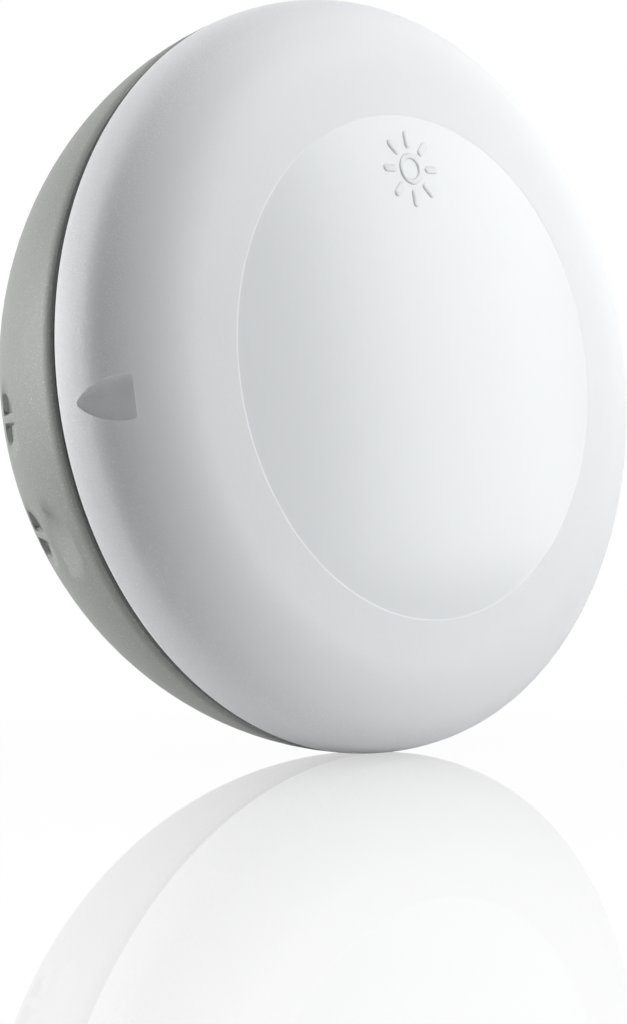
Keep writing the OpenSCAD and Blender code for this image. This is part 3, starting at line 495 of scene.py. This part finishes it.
def cover_profile():
    """The wall of the cover: from the rim over the outside to the middle, and back on the inside."""
    window = WINDOW_R / MM
    outer = [(RIM_R - LIP, RIM_DEPTH)] + arc((RIM_R - LIP, RIM_DEPTH + LIP), LIP_ROUND, -60, -5, 4)
    outer += arc(side_centre, SIDE_R, SIDE_START, SIDE_TURN, 14)
    outer += arc(shoulder_centre, SHOULDER_R, SIDE_TURN, SHOULDER_TURN, 12)[1:]
    outer += arc(cheek_centre, CHEEK_R, SHOULDER_TURN, cheek_turn, 18)[1:]
    dome_edge = DOME_R * math.cos(math.radians(cheek_turn))
    lean = LEAN_SHARE * WINDOW_SINK
    leaning = ((dome_edge - (dome_edge - window - STEP_W) * i / 8, lean * i / 8) for i in range(1, 9))
    outer += [(r, dome_depth(r, sink)) for r, sink in leaning]
    for share in (i / 8 for i in range(1, 9)):
        r = window + STEP_W * (1 - share)
        fall = share * share * (3 - 2 * share)
        outer.append((r, dome_depth(r) - lean - (WINDOW_SINK - lean) * fall))
    outer += [(window * (1 - i / 40), dome_depth(window * (1 - i / 40), WINDOW_SINK)) for i in range(1, 41)]
    inner = [(r, dome_depth(r, WALL)) for r in (dome_edge * i / 16 for i in range(17))]
    inner += arc(cheek_centre, CHEEK_R - WALL, cheek_turn, SHOULDER_TURN, 10)[1:]
    inner += arc(shoulder_centre, SHOULDER_R - WALL, SHOULDER_TURN, SIDE_TURN, 6)[1:]
    inner += arc(side_centre, SIDE_R - WALL, SIDE_TURN, 0, 8)[1:]
    return outer + inner


cover = turned("cover_shell", cover_profile() + [(RIM_R - LIP, RIM_DEPTH)], milky)
print("cover", len(cover.data.polygons), "faces, size", [round(v / MM, 2) for v in cover.dimensions],
      "lowest y", round(min(v.co.y for v in cover.data.vertices) / MM, 2))

# %% [markdown]
# ### The sunk arrow
# The arrow on the cover's side points back at the marks on the base. Its floor is a flat cut that leans 40
# degrees, so it is shallow at the tip and deep at the straight end. A Boolean with a leaning prism makes the
# same cut that a core pin makes in the mould.

# %% Cut the arrow
ARROW_ANGLE, ARROW_RISE, ARROW_TILT = 180.7, 3.1, 40
ARROW_L, ARROW_W, ARROW_ROUND, ARROW_WIDE_SHARE, CUTTER_L = 6.5, 4.9, 0.5, 0.8, 5.5


def arrow_outline():
    """Points of the arrow, x across and y from its tip back: a round tip, bulged sides, rounded corners."""
    half, widest = ARROW_W / 2, ARROW_WIDE_SHARE * ARROW_L
    bulge = (half ** 2 + (widest - ARROW_ROUND) ** 2 - ARROW_ROUND ** 2) / (2 * (half - ARROW_ROUND))
    meet = math.degrees(math.atan2(widest - ARROW_ROUND, bulge - half))
    right_side = arc((half - bulge, widest), bulge, -meet, 0, 12)
    right_side += arc((half - ARROW_ROUND, ARROW_L - ARROW_ROUND), ARROW_ROUND, 0, 90, 8)
    tip = arc((0, ARROW_ROUND), ARROW_ROUND, 180 + meet, 360 - meet, 10)[1:-1]
    return tip + right_side + [(-x, y) for x, y in reversed(right_side)]


def side_cutter(name, outline, length, place):
    """A prism over an outline, put where `place` says."""
    count = len(outline)
    points = [place @ Vector((out, x, y)) for out in (0, length) for x, y in outline]
    faces = [list(range(count)), list(range(2 * count - 1, count - 1, -1))]
    faces += [[i, (i + 1) % count, count + (i + 1) % count, count + i] for i in range(count)]
    obj = new_object(name, [p * MM for p in points], faces=faces)
    return tidy_normals(obj)


# Local x out of the case, y round it, z out from the wall: then the whole is stood on the wall
on_wall = Matrix.Rotation(math.radians(90), 4, "X")
arrow_r = side_centre.x + math.sqrt(SIDE_R ** 2 - ARROW_RISE ** 2)
arrow_place = (on_wall @ Matrix.Rotation(math.radians(ARROW_ANGLE), 4, "Z")
               @ Matrix.Translation((arrow_r, 0, RIM_DEPTH + ARROW_RISE))
               @ Matrix.Rotation(math.radians(-ARROW_TILT), 4, "Y"))
cutter = side_cutter("arrow_cutter", arrow_outline(), CUTTER_L, arrow_place)


def cut_out(obj, tool):
    """Cuts the tool's shape out of obj and deletes the tool."""
    boolean = obj.modifiers.new("cut", "BOOLEAN")
    boolean.object = tool
    boolean.operation = "DIFFERENCE"
    boolean.solver = "EXACT"
    settle(obj)
    bpy.data.objects.remove(tool)
    return obj


tidy_normals(cover)
cut_out(cover, cutter)
tidy_normals(cover)
cover.data.materials.clear()
cover.data.materials.append(milky)
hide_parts("front_cover")
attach(cover, "cover")
print("cover with arrow", len(cover.data.polygons), "faces")

# %% [markdown]
# ### Collar and lugs
# Inside the cover a collar reaches back into the base. Four lugs on it turn in behind ledges: that is the
# bayonet. The ring is turned, and the lugs repeat round it, so one lug is instanced at even angles.

# %% The repeating tree
repeating, repeat_in, repeat_out = node_tree_with(
    "repeated round the axis",
    {"Count": "Int", "Radius": "Float", "Start": "Float", "Finish": "Material"})
ring_points = repeating.nodes.new("GeometryNodeMeshCircle")
repeating.links.new(repeat_in.outputs["Count"], ring_points.inputs["Vertices"])
repeating.links.new(repeat_in.outputs["Radius"], ring_points.inputs["Radius"])
place_index = repeating.nodes.new("GeometryNodeInputIndex")
turn_each = repeating.nodes.new("ShaderNodeMath")
turn_each.operation = "DIVIDE"
turn_each.inputs[0].default_value = math.tau
repeating.links.new(repeat_in.outputs["Count"], turn_each.inputs[1])
each_angle = repeating.nodes.new("ShaderNodeMath")
each_angle.operation = "MULTIPLY"
repeating.links.new(place_index.outputs[0], each_angle.inputs[0])
repeating.links.new(turn_each.outputs[0], each_angle.inputs[1])
as_turn = repeating.nodes.new("ShaderNodeCombineXYZ")
repeating.links.new(each_angle.outputs[0], as_turn.inputs["Z"])
instances, lift, _, repeat_paint = chain(
    repeating, ring_points.outputs[0], "InstanceOnPoints", "Transform", "RealizeInstances",
    "SetMaterial")
repeating.links.new(repeat_in.outputs["Geometry"], instances.inputs["Instance"])
repeating.links.new(as_turn.outputs[0], instances.inputs["Rotation"])
start_turn = repeating.nodes.new("ShaderNodeCombineXYZ")
repeating.links.new(repeat_in.outputs["Start"], start_turn.inputs["Z"])
repeating.links.new(start_turn.outputs[0], lift.inputs["Rotation"])
repeating.links.new(repeat_in.outputs["Finish"], repeat_paint.inputs["Material"])
repeating.links.new(repeat_paint.outputs[0], repeat_out.inputs[0])


# %% Helpers for the collar
def join(target, *others):
    """Moves the others' meshes into target."""
    work = bmesh.new()
    work.from_mesh(target.data)
    for other in others:
        work.from_mesh(other.data)
        bpy.data.objects.remove(other)
    work.to_mesh(target.data)
    work.free()
    return target


def ring_block(name, inner, outer, back_depth, front_depth, half_span, soft=0.2, steps=10):
    """A block that follows a ring, with soft edges. Local x is outwards from the ring's radius `inner`."""
    section = [(inner, back_depth), (outer - soft, back_depth), (outer, back_depth + soft),
               (outer, front_depth - soft), (outer - soft, front_depth), (inner, front_depth)]
    points, faces, count = [], [], len(section)
    for i in range(steps + 1):
        angle = math.radians(half_span * (2 * i / steps - 1))
        points += [(r * math.cos(angle) - inner, r * math.sin(angle), d) for r, d in section]
    for i in range(steps):
        for k in range(count):
            a, b = i * count + k, i * count + (k + 1) % count
            faces.append((a, b, b + count, a + count))
    faces += [list(range(count)), list(range(steps * count + count - 1, steps * count - 1, -1))]
    return new_object(name, [Vector(p) * MM for p in points], faces=faces)


# %% The bayonet collar
COLLAR_R, COLLAR_WALL, COLLAR_SOFT, COLLAR_ROOT = 44.2, 1.8, 0.2, 0.6
LUG_BACK, LUG_FRONT, LUG_REACH, LUG_ROOT, LUG_SPAN, LUG_START = 15.0, 16.8, 1.4, 0.4, 14, 45
COLLAR_FRONT = (cheek_centre.y + math.sqrt((CHEEK_R - WALL / 2) ** 2 - (COLLAR_R - cheek_centre.x) ** 2)
                - COLLAR_ROOT)

lug_foot, collar_in = COLLAR_R - LUG_ROOT, COLLAR_R - COLLAR_WALL
lugs = ring_block("lugs", lug_foot, COLLAR_R + LUG_REACH, LUG_BACK, LUG_FRONT, LUG_SPAN / 2)
run_tree(lugs, repeating, Count=4, Radius=lug_foot * MM, Start=math.radians(LUG_START), Finish=milky)
lugs.data.transform(on_wall)
collar_section = [(collar_in, LUG_BACK + COLLAR_SOFT), (collar_in + COLLAR_SOFT, LUG_BACK),
                  (COLLAR_R - COLLAR_SOFT, LUG_BACK), (COLLAR_R, LUG_BACK + COLLAR_SOFT),
                  (COLLAR_R, COLLAR_FRONT), (collar_in, COLLAR_FRONT + COLLAR_ROOT)]
collar = turned("bayonet_collar", collar_section, milky, steps=192, closed=True)
join(collar, lugs)
tidy_normals(collar)
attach(collar, "cover")
print("collar", len(collar.data.polygons), "faces")

# %% [markdown]
# ### The seal
# A soft black ring sits in a groove of the cover's rim and closes the joint. Its outer face is slightly
# rounded, which is what shows as a thin dark line with a faint lighter edge.

# %% The seal
SEAL_OUT, SEAL_W, SEAL_BELLY, LIP_DEPTH, TONGUE_W, TONGUE_H = 47.9, 1.3, 0.3, 19.6, 0.7, 0.8
seal_in = SEAL_OUT - SEAL_W
tongue_in = SEAL_OUT - (SEAL_W + TONGUE_W) / 2
tongue_out, tongue_top = tongue_in + TONGUE_W, RIM_DEPTH + TONGUE_H
half_joint = (RIM_DEPTH - LIP_DEPTH) / 2
belly = [(SEAL_OUT - SEAL_BELLY * (1 - math.cos(t)), LIP_DEPTH + half_joint * (1 + math.sin(t)))
         for t in (math.radians(-90 + 180 * i / 8) for i in range(9))]
seal_profile = [(seal_in, LIP_DEPTH)] + belly
seal_profile += [(tongue_out, RIM_DEPTH), (tongue_out, tongue_top), (tongue_in, tongue_top),
                 (tongue_in, RIM_DEPTH), (seal_in, RIM_DEPTH)]
seal = tidy_normals(turned("joint_seal", seal_profile, seal_black, closed=True))
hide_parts("seal_ring")
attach(seal, "cover")
print("seal", len(seal.data.polygons), "faces")

# %% [markdown]
# ## The sun pictogram
# A low relief near the top of the window: a ring and eight rays. Each ray is a soft-edged bar, made once and
# repeated round the ring by the same tree as the lugs. The flat pictogram is then laid on the dome: every
# point gets the window's own depth at that place plus its height.

# %% The pictogram
SUN_Z, SUN_RING, RAY_FROM, RAY_TO, RAY_W, RELIEF, FOOT = 24.8, (1.25, 2.0), 2.6, 4.85, 0.95, 0.14, -0.08


def soft_bar(name, length, width, height, steps=8, around=10):
    """A bar along +x with round ends and a rounded top, its foot sunk a little below zero."""
    half = width / 2
    rings = [(half, FOOT)] + [(half * math.cos(t), height * math.sin(t))
                              for t in (math.pi / 2 * i / steps for i in range(steps))]
    points = []
    for radius, top in rings:
        for end, start in ((length - half, -90), (half, 90)):
            for i in range(around + 1):
                t = math.radians(start + 180 * i / around)
                points.append((end + radius * math.cos(t), radius * math.sin(t), top))
    count = 2 * (around + 1)
    faces = [(low + i, low + (i + 1) % count, low + count + (i + 1) % count, low + count + i)
             for low in range(0, steps * count, count) for i in range(count)]
    faces.append([steps * count + i for i in range(count)])
    faces.append(list(range(count - 1, -1, -1)))
    return new_object(name, [Vector(p) * MM for p in points], faces=faces)


rays = soft_bar("sun_rays", RAY_TO - RAY_FROM, RAY_W, RELIEF)
run_tree(rays, repeating, Count=8, Radius=RAY_FROM * MM, Start=0.0, Finish=milky)
ring_mid, ring_half = sum(SUN_RING) / 2, (SUN_RING[1] - SUN_RING[0]) / 2
ring_section = [(ring_mid + ring_half, FOOT)] + [
    (ring_mid + ring_half * math.cos(t), RELIEF * math.sin(t))
    for t in (math.pi * i / 12 for i in range(13))] + [(ring_mid - ring_half, FOOT)]
sun = turned("sun_pictogram", ring_section, milky, steps=96, closed=True)
rays.data.transform(on_wall)
join(sun, rays)
for vertex in sun.data.vertices:
    x, height, z = vertex.co.x / MM, -vertex.co.y / MM, vertex.co.z / MM + SUN_Z
    vertex.co = Vector((x, -(dome_depth(math.hypot(x, z), WINDOW_SINK) + height), z)) * MM
tidy_normals(sun, 50)
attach(sun, "cover")
print("pictogram", len(sun.data.polygons), "faces, front at",
      round(min(v.co.y for v in sun.data.vertices) / MM, 2))

# %% [markdown]
# ## The grey base
# The base's shape is right in the frame, marks, recess, bosses and slots included, so its own mesh is used.
# The frame's meshes are loose triangles with flat faces. A copy with its doubles merged can be shaded
# smooth, except at edges sharper than 32 degrees. Long thin triangles would spread the shade of a rounded
# edge over the flat back, so flat neighbours are joined first, and large faces weigh most in the normals.

# %% The base
FLAT_FACE, FLAT_DEGREES, BASE_DOUBLES, LARGE_FACES_FIRST = 0.9999, 0.2, 0.001 * MM, 100


def smooth_copy(name, node, material, body):
    """A merged, smoothly shaded copy of a CAD node that stands for it. Its flat faces look along y."""
    obj = bpy.data.objects.new(name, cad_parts[node].data.copy())
    bpy.context.scene.collection.objects.link(obj)
    obj.data.materials.clear()
    obj.data.materials.append(material)
    work = bmesh.new()
    work.from_mesh(obj.data)
    bmesh.ops.remove_doubles(work, verts=work.verts, dist=BASE_DOUBLES)
    work.normal_update()
    flat = {face for face in work.faces if abs(face.normal.y) > FLAT_FACE}
    inner = [edge for edge in work.edges if edge.link_faces and flat.issuperset(edge.link_faces)]
    bmesh.ops.dissolve_limit(work, angle_limit=math.radians(FLAT_DEGREES), edges=inner,
                             verts=list({vert for face in flat for vert in face.verts}))
    work.to_mesh(obj.data)
    work.free()
    obj.data.shade_smooth()
    obj.data.set_sharp_from_angle(angle=math.radians(SHARP_DEGREES))
    around = obj.vertex_groups.new(name="flat faces")
    flat_points = {point for face in obj.data.polygons if abs(face.normal.y) > FLAT_FACE
                   for point in face.vertices}
    around.add(sorted(flat_points), 1.0, "REPLACE")
    weighted = obj.modifiers.new("weighted normals", "WEIGHTED_NORMAL")
    weighted.vertex_group = around.name
    weighted.keep_sharp = True
    weighted.weight = LARGE_FACES_FIRST
    settle(obj)
    obj.vertex_groups.clear()
    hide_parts(node)
    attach(obj, body)
    return obj


base = smooth_copy("base_housing", "wall_base", base_grey, "base")
print("base", len(base.data.vertices), "points")

# %% [markdown]
# ## The electronics
# With the cover on, nothing of the inside shows. It is dressed all the same, for views with the cover taken
# away. Each node keeps its CAD mesh and gets its finish in its material slots.

# %% Finishes on the CAD nodes
node_finishes = {
    "circuit_board": green_board, "board_screws": tinned, "battery_holder": black_plastic,
    "upper_cell": upper_sleeve, "lower_cell": lower_sleeve, "contact_springs": tinned,
    "contact_plates": tinned, "sensor_stand": white_plastic, "light_sensor": clear_epoxy,
    "status_led": red_epoxy, "prog_switch": black_plastic, "prog_switch_plate": tinned,
    "prog_button": white_plastic, "threshold_trimmer": blue_plastic, "threshold_dial": white_plastic,
    "radio_board": blue_board, "shield_can": tinned, "antenna": copper, "microcontroller": black_plastic,
    "crystal": tinned, "reservoir_capacitor": black_plastic, "chip_parts": ceramic}
for node, material in node_finishes.items():
    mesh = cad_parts[node].data
    mesh.materials.clear()
    mesh.materials.append(material)
print("finished", len(node_finishes), "CAD nodes")

# %% [markdown]
# ## Floor, lights and background
# The case stands on its edge on a pale polished surface, which mirrors it softly. The floor is level with
# the photograph's frame, so its normal is the camera's up direction, leaned until the case's axis is
# parallel to it. It touches the case at the lowest point. Its mirror image fades with the distance.

# %% The floor
floor_up = (up - (up.y / back.y) * back).normalized()
foot = min((vertex.co.copy() for obj in (base, cover) for vertex in obj.data.vertices), key=floor_up.dot)
side_x = floor_up.cross(Vector((0, 1, 0))).normalized()
side_y = floor_up.cross(side_x)
FLOOR_R, FLOOR_STEPS = 0.9, 64
floor = new_object("floor", [foot + FLOOR_R * (math.cos(t) * side_x + math.sin(t) * side_y)
                             for t in (math.tau * i / FLOOR_STEPS for i in range(FLOOR_STEPS))],
                   faces=[list(range(FLOOR_STEPS))])
if floor.data.polygons[0].normal.dot(floor_up) < 0:
    floor.data.flip_normals()
print("floor", [round(v, 3) for v in floor_up], "lowest", round(floor_up.dot(foot) / MM, 2))


# %% Helpers for the floor's paint
def seen_directly(tree):
    """1 for what the camera, a mirror or glass sees, 0 for what only lights a surface."""
    rays = tree.nodes.new("ShaderNodeLightPath").outputs
    mirrored = maths(tree, "MAXIMUM", rays["Is Glossy Ray"], rays["Is Transmission Ray"])
    return maths(tree, "MAXIMUM", rays["Is Camera Ray"], mirrored)


def mix_shaders(tree, factor, first, second):
    """A Mix Shader node. Returns its output."""
    node = tree.nodes.new("ShaderNodeMixShader")
    tree.links.new(factor, node.inputs[0])
    tree.links.new(first, node.inputs[1])
    tree.links.new(second, node.inputs[2])
    return node.outputs[0]


# %% The floor's paint
MIRROR_MOST, MIRROR_REACH, MIRROR_ROUGH = 0.42, 0.2, 0.02
FLOOR_MATT, FLOOR_WHITE, WHITE_REACH = 0.4, 0.96, 0.1

floor_paint = bpy.data.materials.new("polished white floor")
floor_paint.use_nodes = True
tree = floor_paint.node_tree
tree.nodes.clear()
far = tree.nodes.new("ShaderNodeVectorMath")
far.operation = "DISTANCE"
far.inputs[1].default_value = foot
tree.links.new(tree.nodes.new("ShaderNodeTexCoord").outputs["Object"], far.inputs[0])
reach = maths(tree, "DIVIDE", far.outputs["Value"], MIRROR_REACH)
fading = maths(tree, "SUBTRACT", 1.0, reach, clamp=True)
mirror_share = maths(tree, "MULTIPLY", fading, MIRROR_MOST)
white = tree.nodes.new("ShaderNodeEmission")
matt = tree.nodes.new("ShaderNodeBsdfDiffuse")
matt.inputs["Color"].default_value = (FLOOR_MATT, FLOOR_MATT, FLOOR_MATT, 1)
mirror = tree.nodes.new("ShaderNodeBsdfGlossy")
mirror.inputs["Color"].default_value = (1, 1, 1, 1)
mirror.inputs["Roughness"].default_value = MIRROR_ROUGH
clear = tree.nodes.new("ShaderNodeBsdfTransparent")
outward = maths(tree, "DIVIDE", far.outputs["Value"], WHITE_REACH, clamp=True)
brightness = maths(tree, "MULTIPLY", seen_directly(tree), span(tree, outward, FLOOR_WHITE, 1.0))
lit = mix_shaders(tree, brightness, matt.outputs[0], white.outputs[0])
polished = mix_shaders(tree, mirror_share, lit, mirror.outputs[0])
from_below = tree.nodes.new("ShaderNodeNewGeometry").outputs["Backfacing"]
paint_out = tree.nodes.new("ShaderNodeOutputMaterial")
tree.links.new(mix_shaders(tree, from_below, polished, clear.outputs[0]), paint_out.inputs[0])
floor.data.materials.append(floor_paint)

# %% [markdown]
# The background is white where the camera, a mirror or glass sees it, and dimmer as a light, so that the
# case keeps its shading. Two soft lamps at the right front give the window its bright side, and two above
# light the cheek and the top. Two behind on the left light the cover's rim and the base, so that the
# shoulder between, which faces the camera, stays darkest.

# %% The world
AMBIENT = 0.09

world = bpy.data.worlds.new("studio")
bpy.context.scene.world = world
world.use_nodes = True
tree = world.node_tree
backdrop = tree.nodes["Background"]
tree.links.new(span(tree, seen_directly(tree), AMBIENT, 1.0), backdrop.inputs["Strength"])
backdrop.inputs["Color"].default_value = (1, 1, 1, 1)


# %% The lamps
def soft_lamp(name, place, target, width, height, watts):
    """A rectangular lamp that points at a target."""
    data = bpy.data.lights.new(name, "AREA")
    data.shape = "RECTANGLE"
    data.size, data.size_y, data.energy = width, height, watts
    lamp = bpy.data.objects.new(name, data)
    lamp.location = place
    lamp.rotation_euler = (Vector(target) - Vector(place)).to_track_quat("-Z", "Y").to_euler()
    bpy.context.scene.collection.objects.link(lamp)


MIDDLE = (0, -0.01, 0)
soft_lamp("left_back_lamp", (-0.2, 0.18, 0.05), MIDDLE, 0.1, 0.2, 0.57)
soft_lamp("left_top_lamp", (-0.18, 0.1, 0.17), MIDDLE, 0.1, 0.15, 0.09)
soft_lamp("right_front_lamp", (0.245, -0.155, 0.025), MIDDLE, 0.2, 0.22, 0.15)
soft_lamp("right_front_lamp_2", (0.2, -0.2, 0.03), MIDDLE, 0.12, 0.2, 0.16)
soft_lamp("right_top_lamp", (0.1, -0.22, 0.18), MIDDLE, 0.15, 0.15, 0.33)
soft_lamp("top_lamp", (0, -0.05, 0.3), MIDDLE, 0.2, 0.2, 0.23)
